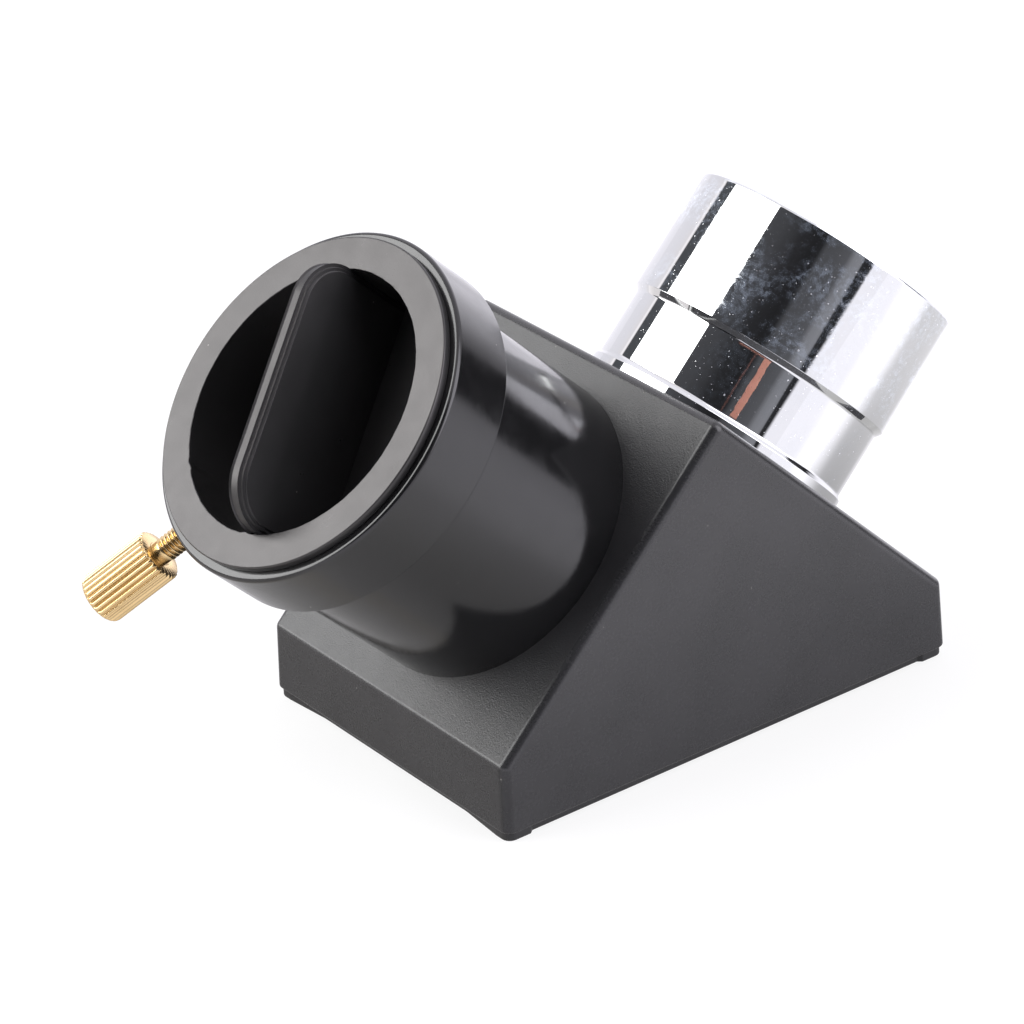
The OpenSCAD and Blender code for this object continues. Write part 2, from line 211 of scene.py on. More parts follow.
# ------------------------------------------------------------------ materials
class Nodes:
    def __init__(self, name):
        self.m = bpy.data.materials.new(name)
        self.m.use_nodes = True
        self.t = self.m.node_tree
        self.bsdf = self.t.nodes["Principled BSDF"]
        self.co = self.t.nodes.new("ShaderNodeTexCoord").outputs["Object"]
        self.geo = self.t.nodes.new("ShaderNodeNewGeometry")

    def link(self, a, b):
        if isinstance(a, (int, float)):
            b.default_value = a
        elif isinstance(a, (tuple, list)):
            b.default_value = a
        else:
            self.t.links.new(a, b)

    def math(self, op, a, b=0.0, c=0.0, clamp=False):
        n = self.t.nodes.new("ShaderNodeMath")
        n.operation = op
        n.use_clamp = clamp
        for v, i in zip((a, b, c), n.inputs):
            self.link(v, i)
        return n.outputs[0]

    def vec(self, op, a, b=(0, 0, 0)):
        n = self.t.nodes.new("ShaderNodeVectorMath")
        n.operation = op
        self.link(a, n.inputs[0])
        self.link(b, n.inputs[1])
        return n.outputs["Value"] if op in ("DOT_PRODUCT", "LENGTH") else n.outputs[0]

    def noise(self, scale, detail=4, rough=0.55, distort=0.0, co=None):
        n = self.t.nodes.new("ShaderNodeTexNoise")
        self.link(co or self.co, n.inputs["Vector"])
        n.inputs["Scale"].default_value = scale
        n.inputs["Detail"].default_value = detail
        n.inputs["Roughness"].default_value = rough
        n.inputs["Distortion"].default_value = distort
        return n.outputs["Fac"]

    def voronoi(self, scale, feature="F1", co=None):
        n = self.t.nodes.new("ShaderNodeTexVoronoi")
        n.feature = feature
        self.link(co or self.co, n.inputs["Vector"])
        n.inputs["Scale"].default_value = scale
        return n

    def span(self, v, a, b, lo=0.0, hi=1.0, smooth=True):
        n = self.t.nodes.new("ShaderNodeMapRange")
        n.interpolation_type = "SMOOTHSTEP" if smooth else "LINEAR"
        self.link(v, n.inputs["Value"])
        for k, x in (("From Min", a), ("From Max", b), ("To Min", lo), ("To Max", hi)):
            self.link(x, n.inputs[k])
        return n.outputs["Result"]

    def mix(self, f, a, b):
        n = self.t.nodes.new("ShaderNodeMix")
        n.data_type = "RGBA"
        self.link(f, n.inputs["Factor"])
        for v, i in ((a, n.inputs[6]), (b, n.inputs[7])):
            self.link(v, i)
        return n.outputs[2]

    def bump(self, height, strength, distance, normal=None):
        n = self.t.nodes.new("ShaderNodeBump")
        n.inputs["Strength"].default_value = strength
        n.inputs["Distance"].default_value = distance
        self.link(height, n.inputs["Height"])
        if normal:
            self.link(normal, n.inputs["Normal"])
        return n.outputs["Normal"]

    def dust(self, scale, share, size):
        """Sparse specks: a cell holds one if its random value is under share."""
        v = self.voronoi(scale)
        n = self.t.nodes.new("ShaderNodeSeparateColor")
        self.link(v.outputs["Color"], n.inputs[0])
        keep = self.math("LESS_THAN", n.outputs[0], share)
        r = self.math("MULTIPLY", n.outputs[1], size)
        near = self.math("LESS_THAN", v.outputs["Distance"], self.math("ADD", r, size * 0.3))
        return self.math("MULTIPLY", keep, near)

    def out(self, **kw):
        for k, v in kw.items():
            self.link(v, self.bsdf.inputs[k.replace("_", " ")])
        return self.m


def rgba(r, g=None, b=None):
    return (r, r if g is None else g, r if b is None else b, 1)


def black_plastic(name, low, high, rough, grain, grain_mm, dusty=0.004, slope_grain=None, scuff=0.03, ior=1.5, grip=None):
    """Moulded black plastic; slope_grain is (roughness, bump) for a pebbled texture on the two slopes."""
    k = Nodes(name)
    fine = k.noise(1000 / grain_mm, 3, 0.6)
    broad = k.noise(90, 3, 0.5)
    cloud = k.noise(420, 4, 0.6, 0.4)
    col = k.mix(k.span(broad, 0.3, 0.7), rgba(*low), rgba(*high))
    speck = k.math("ADD", k.dust(520, dusty, 0.055), k.dust(1500, dusty * 2.5, 0.12), clamp=True)
    col = k.mix(k.math("MULTIPLY", speck, 0.35), col, rgba(0.45, 0.43, 0.4))
    r = k.math("ADD", k.span(cloud, 0.25, 0.75, rough - scuff, rough + scuff), k.math("MULTIPLY", speck, 0.3))
    r = k.math("ADD", r, k.span(fine, 0.3, 0.7, -0.01, 0.01))
    nrm = k.bump(fine, grain, 0.00004)
    if slope_grain:
        flat = k.t.nodes.new("ShaderNodeSeparateXYZ")
        k.link(k.geo.outputs["Normal"], flat.inputs[0])
        lean = k.math("MULTIPLY", k.math("ADD", k.math("ABSOLUTE", flat.outputs["Y"]), flat.outputs["Z"]), 0.7071)
        slope = k.math("MULTIPLY", k.span(lean, 0.98, 0.996), k.span(flat.outputs["Z"], 0.5, 0.6))
        r = k.math("ADD", r, k.math("MULTIPLY", slope, slope_grain[0] - rough))
        pebble = k.math("SUBTRACT", 1.0, k.math("MULTIPLY", k.voronoi(6200, "SMOOTH_F1").outputs["Distance"], 1.3))
        pebble = k.math("ADD", k.math("MULTIPLY", pebble, 0.6), k.math("MULTIPLY", k.noise(5000, 2, 0.6), 0.8))
        pebble = k.math("MULTIPLY", pebble, k.span(k.noise(260, 3, 0.6), 0.3, 0.7, 0.75, 1.25))
        nrm = k.bump(k.math("MULTIPLY", pebble, slope), slope_grain[1], 0.00003, nrm)
    if grip:
        o, up, extra = grip
        z = k.vec("DOT_PRODUCT", k.vec("SUBTRACT", k.co, tuple(o)), tuple(up))
        r = k.math("ADD", r, k.math("MULTIPLY", k.span(z, 0.0014, 0.0022), extra))
        k.link(rgba(1.0, 0.955, 0.95), k.bsdf.inputs["Specular Tint"])
    nrm = k.bump(broad, 0.12, 0.0002, nrm)
    return k.out(Base_Color=col, Roughness=r, Normal=nrm, IOR=ior)


def metal(name, col, col2, rough, smudge, brushed=0.0, dusty=0.0, tint=None):
    k = Nodes(name)
    cloud = k.noise(160, 5, 0.62, 0.6)
    fine = k.noise(1400, 4, 0.6)
    marks = k.math("MULTIPLY", k.span(cloud, 0.5, 0.72), k.span(fine, 0.35, 0.7))
    c = k.mix(k.span(cloud, 0.35, 0.75), rgba(*col), rgba(*col2))
    r = k.math("ADD", rough, k.math("MULTIPLY", marks, smudge))
    if dusty:
        speck = k.dust(900, dusty, 0.11)
        r = k.math("ADD", r, k.math("MULTIPLY", speck, 0.35))
        c = k.mix(k.math("MULTIPLY", speck, 0.5), c, rgba(0.6))
    nrm = k.bump(k.noise(300, 2, 0.5), 0.02, 0.0001)
    if brushed:
        nrm = k.bump(k.noise(6000, 2, 0.6), brushed, 0.00002, nrm)
    return k.out(Base_Color=c, Metallic=1.0, Roughness=r, Normal=nrm)


def turned(k, frame_):
    """Radius from the axis, angle in degrees and height of a shading point in a tube's own frame, in mm."""
    o = frame_.translation
    axes = [frame_.to_3x3().col[i] for i in range(3)]
    p = k.vec("SUBTRACT", k.co, tuple(o))
    x, y, z = [k.math("MULTIPLY", k.vec("DOT_PRODUCT", p, tuple(v)), 1000.0) for v in axes]
    r = k.math("SQRT", k.math("ADD", k.math("MULTIPLY", x, x), k.math("MULTIPLY", y, y)))
    return r, k.math("MULTIPLY", k.math("ARCTAN2", y, x), 57.29578), z


def plated(name):
    k = Nodes(name)
    r, th, z = turned(k, BACK)
    cloud = k.noise(170, 5, 0.65, 0.8)
    fine = k.noise(1500, 4, 0.65)
    grit = k.noise(5200, 3, 0.7)
    film = k.math("MULTIPLY", k.span(cloud, 0.42, 0.68), k.span(fine, 0.4, 0.66))
    film = k.math("MULTIPLY", film, k.span(z, 9.5, 12, 0.15, 1.0))
    smear = k.math("MULTIPLY", k.math("MULTIPLY", k.span(th, -74, -69), k.span(th, -66, -56, 1, 0)),
                   k.math("MULTIPLY", k.span(z, 10.4, 13), k.span(z, 16, 20, 1, 0)))
    film = k.math("ADD", film, k.math("MULTIPLY", smear, k.span(k.noise(700, 4, 0.7, 1.2), 0.38, 0.7)))
    speck = k.math("ADD", k.dust(1900, 0.1, 0.15), k.dust(3600, 0.14, 0.2), clamp=True)
    speck = k.math("MULTIPLY", speck, k.span(cloud, 0.38, 0.6, 0.3, 1.0))
    line = k.math("SINE", k.math("ADD", k.math("MULTIPLY", z, 26.0), k.math("MULTIPLY", fine, 7.0)))
    line = k.math("MULTIPLY", k.span(line, 0.9, 1.0), k.span(grit, 0.52, 0.66))
    metal_c = k.mix(k.span(cloud, 0.35, 0.75), rgba(0.66, 0.668, 0.668), rgba(0.63, 0.643, 0.646))
    rough = k.math("ADD", 0.012, k.math("MULTIPLY", film, 0.12))
    rough = k.math("ADD", rough, k.math("MULTIPLY", line, 0.1))
    rough = k.math("ADD", rough, k.math("MULTIPLY", speck, 0.3))
    # painted copper reflection on the neck: a strip, a fainter strip beside it and a line on the ledge
    ragged = k.math("ADD", th, k.math("MULTIPLY", k.math("SUBTRACT", k.noise(900, 3, 0.6), 0.5), 1.4))
    neck = k.math("MULTIPLY", k.span(z, 1.9, 2.2), k.span(z, 9.25, 9.5, 1, 0))
    copper_reflection = k.math("MULTIPLY", k.math("MULTIPLY", k.span(ragged, COPPER_REFLECTION[0] - 0.2, COPPER_REFLECTION[0] + 0.2), k.span(ragged, COPPER_REFLECTION[1] - 0.2, COPPER_REFLECTION[1] + 0.2, 1, 0)), neck)
    copper_reflection = k.math("MULTIPLY", copper_reflection, k.span(grit, 0.28, 0.4, 0.6, 1.0))
    faint_copper_reflection = k.math("MULTIPLY", k.math("MULTIPLY", k.span(ragged, COPPER_REFLECTION[0] - 4.6, COPPER_REFLECTION[0] - 4.3), k.span(ragged, COPPER_REFLECTION[0] - 3.9, COPPER_REFLECTION[0] - 3.5, 1, 0)), neck)
    copper_reflection = k.math("MAXIMUM", copper_reflection, k.math("MULTIPLY", faint_copper_reflection, 0.35))
    ledge_copper_reflection = k.math("MULTIPLY", k.math("MULTIPLY", k.span(ragged, -56.0, -54.0), k.span(ragged, -40.5, -39.5, 1, 0)),
                 k.math("MULTIPLY", k.span(z, 9.15, 9.25), k.span(z, 9.35, 9.5, 1, 0)))
    copper_reflection = k.math("MAXIMUM", copper_reflection, k.math("MULTIPLY", ledge_copper_reflection, 0.7))
    metal_c = k.mix(copper_reflection, metal_c, rgba(0.85, 0.44, 0.33))
    rough = k.math("ADD", rough, k.math("MULTIPLY", copper_reflection, 0.35))
    nrm = k.bump(k.noise(300, 2, 0.5), 0.02, 0.0001)
    nrm = k.bump(k.math("ADD", film, speck), 0.12, 0.00001, nrm)
    inside = k.math("MULTIPLY", k.span(r, 14.26, 14.3, 1, 0), k.span(z, NOSE_H - 0.5, NOSE_H - 0.3, 1, 0))
    k.out(Base_Color=k.mix(inside, metal_c, rgba(0.012)), Metallic=k.math("SUBTRACT", 1.0, inside),
          Roughness=k.math("ADD", rough, k.math("MULTIPLY", inside, 0.4)), Normal=nrm)
    # film, specks, fine rings and the painted copper reflection add a little diffuse light, which only shows over dark
    # reflections
    haze = k.t.nodes.new("ShaderNodeBsdfDiffuse")
    outside = k.math("SUBTRACT", 1.0, inside)
    parts = []
    for amount, c in ((film, (0.09, 0.105, 0.13)), (speck, (0.3, 0.3, 0.32)), (line, (0.03, 0.03, 0.035)), (copper_reflection, (0.12, 0.045, 0.03))):
        n = k.t.nodes.new("ShaderNodeVectorMath")
        n.operation = "SCALE"
        k.link(c, n.inputs[0])
        k.link(k.math("MULTIPLY", amount, outside), n.inputs["Scale"])
        parts.append(n.outputs[0])
    total = parts[0]
    for x in parts[1:]:
        total = k.vec("ADD", total, x)
    k.link(total, haze.inputs[0])
    both = k.t.nodes.new("ShaderNodeAddShader")
    k.t.links.new(k.bsdf.outputs[0], both.inputs[0])
    k.t.links.new(haze.outputs[0], both.inputs[1])
    k.t.links.new(both.outputs[0], k.t.nodes["Material Output"].inputs[0])
    return k.m


COPPER_REFLECTION = (-43.0, -40.0)      # edges of the painted copper reflection, in degrees about the nosepiece axis
MAT = {
    "housing": black_plastic("housing_plastic", (0.016, 0.016, 0.0168), (0.021, 0.021, 0.022), 0.27, 0.06, 0.3, dusty=0.002,
                             slope_grain=(0.41, 0.85), scuff=0.012),
    "cover": black_plastic("cover_plastic", (0.013, 0.013, 0.0135), (0.017, 0.017, 0.0175), 0.45, 0.35, 0.3),
    "holder": black_plastic("holder_plastic", (0.005, 0.005, 0.0053), (0.0065, 0.0065, 0.0069), 0.15, 0.06, 0.5, 0.003,
                            scuff=0.04, ior=1.52),
    "plug": black_plastic("plug_plastic", (0.012, 0.012, 0.0122), (0.016, 0.016, 0.0162), 0.31, 0.22, 0.3, 0.003,
                          grip=(FRONT @ Vector((0, 0, HOLDER_H * MM)), FRONT.to_3x3().col[2], 0.1)),
    "chrome": plated("chrome_plate"),
    "brass": metal("turned_brass", (0.68, 0.5, 0.26), (0.62, 0.45, 0.22), 0.25, 0.12, brushed=0.15),
    "insert": metal("insert_brass", (0.78, 0.58, 0.27), (0.7, 0.5, 0.22), 0.25, 0.15, brushed=0.2),
    "mirror": metal("mirror_coat", (0.9, 0.915, 0.925), (0.88, 0.9, 0.91), 0.01, 0.02),
    "clip": metal("spring_steel", (0.55, 0.55, 0.57), (0.47, 0.47, 0.49), 0.28, 0.1, brushed=0.4),
    "zinc": metal("zinc_screw", (0.62, 0.63, 0.66), (0.55, 0.56, 0.6), 0.3, 0.1, brushed=0.3),
    "oxide": metal("oxide_screw", (0.06, 0.06, 0.062), (0.045, 0.045, 0.047), 0.38, 0.1, brushed=0.3),
}
k = Nodes("felt")
w = k.noise(2500, 5, 0.7)
MAT["felt"] = k.out(Base_Color=k.mix(w, rgba(0.05, 0.045, 0.04), rgba(0.09, 0.08, 0.07)), Roughness=0.95,
                    Normal=k.bump(w, 0.8, 0.0001), Sheen_Weight=0.3)


def paint(o, m):
    o.data.materials.clear()
    o.data.materials.append(MAT[m])
    return o


# ------------------------------------------------------------------ CAD nodes that keep their shape
for n, m, soft in (("base_cover", "cover", 0.15), ("mirror", "mirror", 0.15), ("mirror_pads", "felt", 0.2),
                   ("mirror_clips", "clip", 0.06), ("lock_insert", "insert", 0.05)):
    o = nodes[n]
    paint(o, m)
    w = o.modifiers.new("weld", "WELD")
    w.merge_threshold = 2e-6
    w = o.modifiers.new("planar", "DECIMATE")
    w.decimate_type = "DISSOLVE"
    w.angle_limit = math.radians(1)
    w = o.modifiers.new("edges", "BEVEL")
    w.width = soft * MM
    w.segments = 3
    w.limit_method = "ANGLE"
    w.angle_limit = math.radians(40)
    w.harden_normals = True

# ------------------------------------------------------------------ housing
H0, H1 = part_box("housing")
C0, C1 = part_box("base_cover")
BW, BL = (H1.x - H0.x) / MM, (H1.y - H0.y) / MM
ZB = H0.z / MM
DRAFT, ER, WALL = 0.2, 1.1, 2.5
RIDGE = (P1.z / MM) + (Vector((0, P1.y, 0)).length / MM)      # height of the sharp ridge line
END = RIDGE - BL / 2


def hull(name, points):
    bm = bmesh.new()
    for p in points:
        bm.verts.new(Vector(p) * MM)
    bmesh.ops.remove_doubles(bm, verts=bm.verts, dist=1e-8)
    r = bmesh.ops.convex_hull(bm, input=bm.verts)
    bmesh.ops.delete(bm, geom=list({g for g in r["geom_interior"] + r["geom_unused"] if isinstance(g, bmesh.types.BMVert)}), context="VERTS")
    bmesh.ops.dissolve_limit(bm, angle_limit=math.radians(0.4), verts=bm.verts, edges=bm.edges)
    return finish_mesh(bm, name, Matrix.Identity(4))


def ball(c, r, n=40):
    """Points on a sphere, on rings about X so that edges along X stay regular."""
    out = []
    for i in range(n // 2 + 1):
        a = math.pi * i / (n // 2)
        for j in range(n):
            b = 2 * math.pi * (j + 0.5) / n
            out.append((c[0] + r * math.cos(a), c[1] + r * math.sin(a) * math.cos(b), c[2] + r * math.sin(a) * math.sin(b)))
    return out


def foot(c, r, f, n=48):
    """A rounded upright corner whose foot is rolled in by radius f."""
    out = []
    for i in range(7):
        a = math.pi / 2 * i / 6
        rr, zz = r - f + f * math.sin(a), c[2] + f * (1 - math.cos(a))
        out += [(c[0] + rr * math.cos(2 * math.pi * j / n), c[1] + rr * math.sin(2 * math.pi * j / n), zz) for j in range(n)]
    return out


def prism(name, pts, x0, x1):
    """A block along X from a (y, z) outline."""
    bm = bmesh.new()
    a = [bm.verts.new((x0 * MM, y * MM, z * MM)) for y, z in pts]
    b = [bm.verts.new((x1 * MM, y * MM, z * MM)) for y, z in pts]
    bm.faces.new(a)
    bm.faces.new(b)
    for i in range(len(pts)):
        j = (i + 1) % len(pts)
        bm.faces.new((a[i], a[j], b[j], b[i]))
    return finish_mesh(bm, name, Matrix.Identity(4))


def rod(name, r, z0, z1, matrix, seg=128, inner=0.0):
    return lathe(name, [Vector((inner, z0)), Vector((r, z0)), Vector((r, z1)), Vector((inner, z1))], matrix, seg)


def block(name, x0, x1, y0, y1, z0, z1):
    return prism(name, [(y0, z0), (y1, z0), (y1, z1), (y0, z1)], x0, x1)


pts = []
for x in (-1, 1):
    for y in (-1, 1):
        pts += foot((x * (BW / 2 - ER), y * (BL / 2 - ER), ZB), ER, 0.38)
        pts += ball((x * (BW / 2 - ER - DRAFT), y * (BL / 2 - ER - DRAFT), END - ER * (math.sqrt(2) - 1) + DRAFT), ER)
    pts += ball((x * (BW / 2 - ER - DRAFT), 0, RIDGE - ER * math.sqrt(2)), ER)
housing = hull("housing_shell", pts)
hw, hl, roof = BW / 2 - WALL, BL / 2 - WALL, RIDGE - WALL * math.sqrt(2)
section = [(-hl, -1), (hl, -1), (hl, roof - hl), (0, roof), (-hl, roof - hl)]
boolean(housing, prism("cavity", section, -hw, hw), "DIFFERENCE")
inner = rod("ring_a", 17.9, -3.6, -1.5, FRONT, 128, 15.0)
boolean(inner, rod("ring_b", 16.4, -3.6, -1.5, BACK, 128, 13.5), "UNION")
bx, by, bz = hw - 2.9, hl - 2.9, 2.6
for x in (-1, 1):
    for y in (-1, 1):
        at = Matrix.Translation((x * bx * MM, y * by * MM, 0))
        boolean(inner, rod("boss", 3.0, bz, 14, at, 48), "UNION")
        boolean(inner, block("web", min(x * bx, x * (hw + 0.4)), max(x * bx, x * (hw + 0.4)), y * by - 1, y * by + 1, bz, 14), "UNION")
        boolean(inner, block("web", x * bx - 1, x * bx + 1, min(y * by, y * (hl + 0.4)), max(y * by, y * (hl + 0.4)), bz, 14), "UNION")
grown = [(-hl - 0.4, 0), (hl + 0.4, 0), (hl + 0.4, roof - hl), (0, roof + 0.57), (-hl - 0.4, roof - hl)]
boolean(inner, prism("room", grown, -hw - 0.4, hw + 0.4), "INTERSECT")
boolean(housing, inner, "UNION")
boolean(housing, rod("bore_a", 16.53, -8, 4, FRONT, 192), "DIFFERENCE")
boolean(housing, rod("bore_b", 14.83, -8, 4, BACK, 192), "DIFFERENCE")
for x in (-1, 1):
    for y in (-1, 1):
        at = Matrix.Translation((x * bx * MM, y * by * MM, 0))
        boolean(housing, rod("pilot", 1.22, 0, 9, at, 32), "DIFFERENCE")
bm = bmesh.new()
bm.from_mesh(housing.data)
bmesh.ops.dissolve_limit(bm, angle_limit=math.radians(0.3), verts=bm.verts, edges=bm.edges, delimit={"NORMAL"})
bm.to_mesh(housing.data)
bm.free()
for p in housing.data.polygons:
    p.use_smooth = True
housing.data.set_sharp_from_angle(angle=math.radians(32))
even_normals(housing)
paint(housing, "housing")
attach(housing, "diagonal")
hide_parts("housing")


# ------------------------------------------------------------------ screws
def screw(name, head, shank, at, cutters):
    """A screw from a head outline and a threaded shank, both in mm about its own axis."""
    r, z0, z1, pitch, sgn = shank
    n = max(2, int(abs(z1 - z0) / (pitch / 6)))
    zs = [z0 + (z1 - z0) * i / n for i in range(n + 1)]

    def th(theta, z):
        u = (z / pitch - theta / (2 * math.pi)) % 1.0
        cut = 0.3 * pitch * max(0.0, 1 - abs(u - 0.5) / 0.38)
        tip = min(r, r * 0.45 + abs(z - z1) * 0.9)
        return max(0.15, min(r - cut * min(1.0, abs(z - z0) / 0.4), tip))
    o = grid_of_revolution(name, zs if z1 > z0 else zs[::-1], th, at, 24, 40)
    h = lathe("head", fillet(head, 5), at, 64)
    for c in cutters:
        boolean(h, c, "DIFFERENCE")
    boolean(o, h, "UNION")
    o.data.set_sharp_from_angle(angle=math.radians(35))
    return o


def join(objs, name):
    bm = bmesh.new()
    for o in objs:
        bm.from_mesh(o.data)
    mesh = bpy.data.meshes.new(name)
    bm.to_mesh(mesh)
    bm.free()
    for p in mesh.polygons:
        p.use_smooth = True
    mesh.set_sharp_from_angle(angle=math.radians(35))
    o = bpy.data.objects.new(name, mesh)
    bpy.context.scene.collection.objects.link(o)
    for x in objs:
        bpy.data.objects.remove(x)
    return o


group = []
for x in (-1, 1):
    for y in (-1, 1):
        at = Matrix.Translation((x * bx * MM, y * by * MM, 0)) @ Matrix.Rotation(math.radians(17 + 31 * x + 9 * y), 4, "Z")
        cut = []
        for q in (0, 90):
            bm = bmesh.new()
            v = [bm.verts.new(Vector(c) * MM) for c in ((-1.35, -0.3, 0), (1.35, -0.3, 0), (1.35, 0.3, 0), (-1.35, 0.3, 0),
                                                        (-0.5, -0.12, 1.0), (0.5, -0.12, 1.0), (0.5, 0.12, 1.0), (-0.5, 0.12, 1.0))]
            for f in ((0, 1, 2, 3), (4, 5, 6, 7), (0, 1, 5, 4), (1, 2, 6, 5), (2, 3, 7, 6), (3, 0, 4, 7)):
                bm.faces.new([v[i] for i in f])
            cut.append(finish_mesh(bm, "cross", at @ Matrix.Rotation(math.radians(q), 4, "Z") @ Matrix.Translation((0, 0, 0.2 * MM))))
        group.append(screw("cover_screw", [(0, 0.27), (1.1, 0.3, 1.5), (2.25, 0.62, 0.35), (2.25, 1.4, 0.06), (0, 1.4)],
                           (1.2, 1.3, 8.2, 0.8, 1), at, cut))
o = join(group, "cover_screw_set")
paint(o, "oxide")
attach(o, "diagonal")
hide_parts("cover_screws")
S0, S1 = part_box("clip_screws")
group = []
for y in (-1, 1):
    top = S1.z / MM - 0.9
    at = Matrix.Translation((0, y * (S1.y / MM - 1.6) * MM, top * MM))
    slot_ = block("slot", -0.22, 0.22, -2, 2, 0.42, 2)
    slot_.data.transform(at @ Matrix.Rotation(math.radians(25 * y), 4, "Z"))
    group.append(screw("clip_screw", [(0, 0), (1.6, 0, 0.08), (1.6, 0.55, 0.25), (1.0, 0.86, 0.9), (0, 0.89)],
                       (0.93, 0.05, -4.6, 0.45, -1), at, [slot_]))
o = join(group, "clip_screw_set")
paint(o, "zinc")
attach(o, "diagonal")
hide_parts("clip_screws")

# ------------------------------------------------------------------ eyepiece holder
T = HOLDER_H - 7.93
holder = lathe("holder_tube", densify(fillet([
    (13.5, -3.6), (16.5, -3.6, 0.4), (16.5, 0), (17.6, 0), (17.6, T, 0.08), (19.76, T, 0.14),
    (19.76, HOLDER_H, 0.5), (15.9, HOLDER_H, 0.25), (15.9, HOLDER_H - 9.5, 0.05), (16.25, HOLDER_H - 9.7, 0.05),
    (16.25, HOLDER_H - 10.3, 0.05), (15.9, HOLDER_H - 10.5, 0.05), (15.9, HOLDER_H - 28), (13.9, HOLDER_H - 28, 0.1),
    (13.5, HOLDER_H - 28.4, 0.1)]), 3.0), FRONT, 256)
cutter = lathe("cutter", [Vector((0, 14)), Vector((1.62, 14)), Vector((1.62, 16.35)), Vector((2.4, 16.35)),
                          Vector((2.4, 22)), Vector((0, 22))], SCREW, 64)
boolean(holder, cutter, "DIFFERENCE")
holder.data.set_sharp_from_angle(angle=math.radians(32))
even_normals(holder)
paint(holder, "holder")
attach(holder, "diagonal")
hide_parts("eyepiece_holder")

# ------------------------------------------------------------------ nosepiece
nose = lathe("nose_tube", densify(fillet([
    (13.5, -3.6), (14.8, -3.6, 0.4), (14.8, 0), (15.73, 0), (15.73, 1.4, 0.14), (15.33, 1.85, 0.5),
    (15.33, 9.52, 0.5), (15.85, 10.2, 0.1), (15.85, NOSE_H, 0.38), (14.35, NOSE_H, 0.1), (14.0, NOSE_H - 0.35)]
    + [(13.99, NOSE_H - 0.4 - 0.1 * i) for i in range(46)]
    + [(13.6, NOSE_H - 5.05), (13.6, 1.4), (13.5, 1.3)]), 3.0), BACK, 256)
to_back = BACK.inverted()
for v in nose.data.vertices:                    # helical filter thread, 0.6 mm pitch
    q = to_back @ v.co
    r, z = math.hypot(q.x, q.y) / MM, q.z / MM
    if abs(r - 13.99) < 0.003:
        u = (z / 0.6 - math.atan2(q.y, q.x) / (2 * math.pi)) % 1.0
        run = min(1.0, (NOSE_H - 0.35 - z) / 0.3, (z - NOSE_H + 4.95) / 0.5)
        r2 = 13.96 + 0.26 * max(0.0, min(1.0, (1 - abs(u - 0.5) / 0.42) * 1.2)) * max(0.0, run)
        v.co += (BACK.to_3x3() @ Vector((q.x, q.y, 0)).normalized()) * ((r2 - r) * MM)
nose.data.set_sharp_from_angle(angle=math.radians(45))
even_normals(nose)
paint(nose, "chrome")
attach(nose, "diagonal")
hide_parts("nosepiece")

# ------------------------------------------------------------------ dust plug
R_CUP, FT, SK = 14.94, 0.97, 9.0
PLUG = FRONT @ Matrix.Translation((0, 0, HOLDER_H * MM))
NIBS = ((-131.6, 0.9, -0.14), (-128.0, 1.2, 0.12), (-76.5, 1.0, 0.2), (-70.5, 0.9, 0.16))      # degrees, width, height in mm
plug = lathe("plug_shell", densify(fillet([
    (0, -SK), (15.3, -SK, 0.1), (15.85, -SK + 1, 0.2), (15.85, -0.05), (16.2, 0), (18.68, 0, 0.1), (18.68, FT, 0.2),
    (R_CUP, FT, 0.12), (R_CUP, -SK + 1, 0.4), (0, -SK + 1)]), 3.0), PLUG, 256)


def tab_outline(off):
    """The tab's outline in its own plane, inset by off along its free edge."""
    h = 5.42 - off
    low, side = -SK + 0.5 - FT, R_CUP - off + (0.3 if off <= 0.001 else 0)
    pts = [(-side, low), (side, low), (side, -0.25)]
    pts += [(R_CUP - 5.42 + h * math.cos(a * math.pi / 36), h * math.sin(a * math.pi / 36)) for a in range(0, 19)]
    pts += [(x, h) for x in (6, 3, 0, -3, -6)]
    pts += [(-R_CUP + 5.42 + h * math.cos(a * math.pi / 36), h * math.sin(a * math.pi / 36)) for a in range(18, 37)]
    pts += [(-side, -0.25)]
    return pts


bm = bmesh.new()
levels = [(0.16, 0.45), (0.05, 0.53), (0.0, 0.62), (0.36, 0.63), (0.40, 0.66), (0.41, 0.80), (0.45, 0.87),
          (0.76, 0.88), (0.80, 0.91), (0.81, 1.02), (0.88, 1.075)]
loops = []
for sgn in (1, -1):
    loops.append([[bm.verts.new((x * MM, sgn * t * MM, z * MM)) for x, z in tab_outline(off)] for off, t in levels])
n = len(loops[0][0])
for side_loops in loops:
    for a, b in zip(side_loops, side_loops[1:]):
        for i in range(n):
            j = (i + 1) % n
            bm.faces.new((a[i], a[j], b[j], b[i]))
    bm.faces.new(side_loops[-1])
a, b = loops[0][0], loops[1][0]
for i in range(n):
    j = (i + 1) % n
    bm.faces.new((a[i], a[j], b[j], b[i]))
clock = Matrix.Rotation(math.radians(19.4 + 90), 4, "Z")
to_plug = PLUG.inverted()
for v in plug.data.vertices:                    # flash on the cup's moulded rim
    q = to_plug @ v.co
    r, z, th = math.hypot(q.x, q.y) / MM, q.z / MM, math.degrees(math.atan2(q.y, q.x))
    if r < R_CUP + 0.2 and FT - 0.2 < z < FT + 0.1:
        d = 0.035 * (math.sin(th * 0.31) + math.sin(th * 0.83 + 1) + 0.7 * math.sin(th * 1.7 + 2)) / 2.7
        for t0, w, h in NIBS:
            d += h * math.exp(-(((th - t0 + 180) % 360 - 180) / w) ** 2)
        v.co -= (PLUG.to_3x3() @ Vector((q.x, q.y, 0)).normalized()) * (max(-0.12, d) * MM)
tab = finish_mesh(bm, "tab", PLUG @ Matrix.Translation((0, 0, FT * MM)) @ clock, 40)
boolean(plug, tab, "UNION")
plug.data.set_sharp_from_angle(angle=math.radians(35))
even_normals(plug)
paint(plug, "plug")
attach(plug, "plug")
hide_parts("dust_plug")

# ------------------------------------------------------------------ lock screw
KN, KR, KD, K0, KL = 28, 2.95, 0.26, 24.39, 8.8


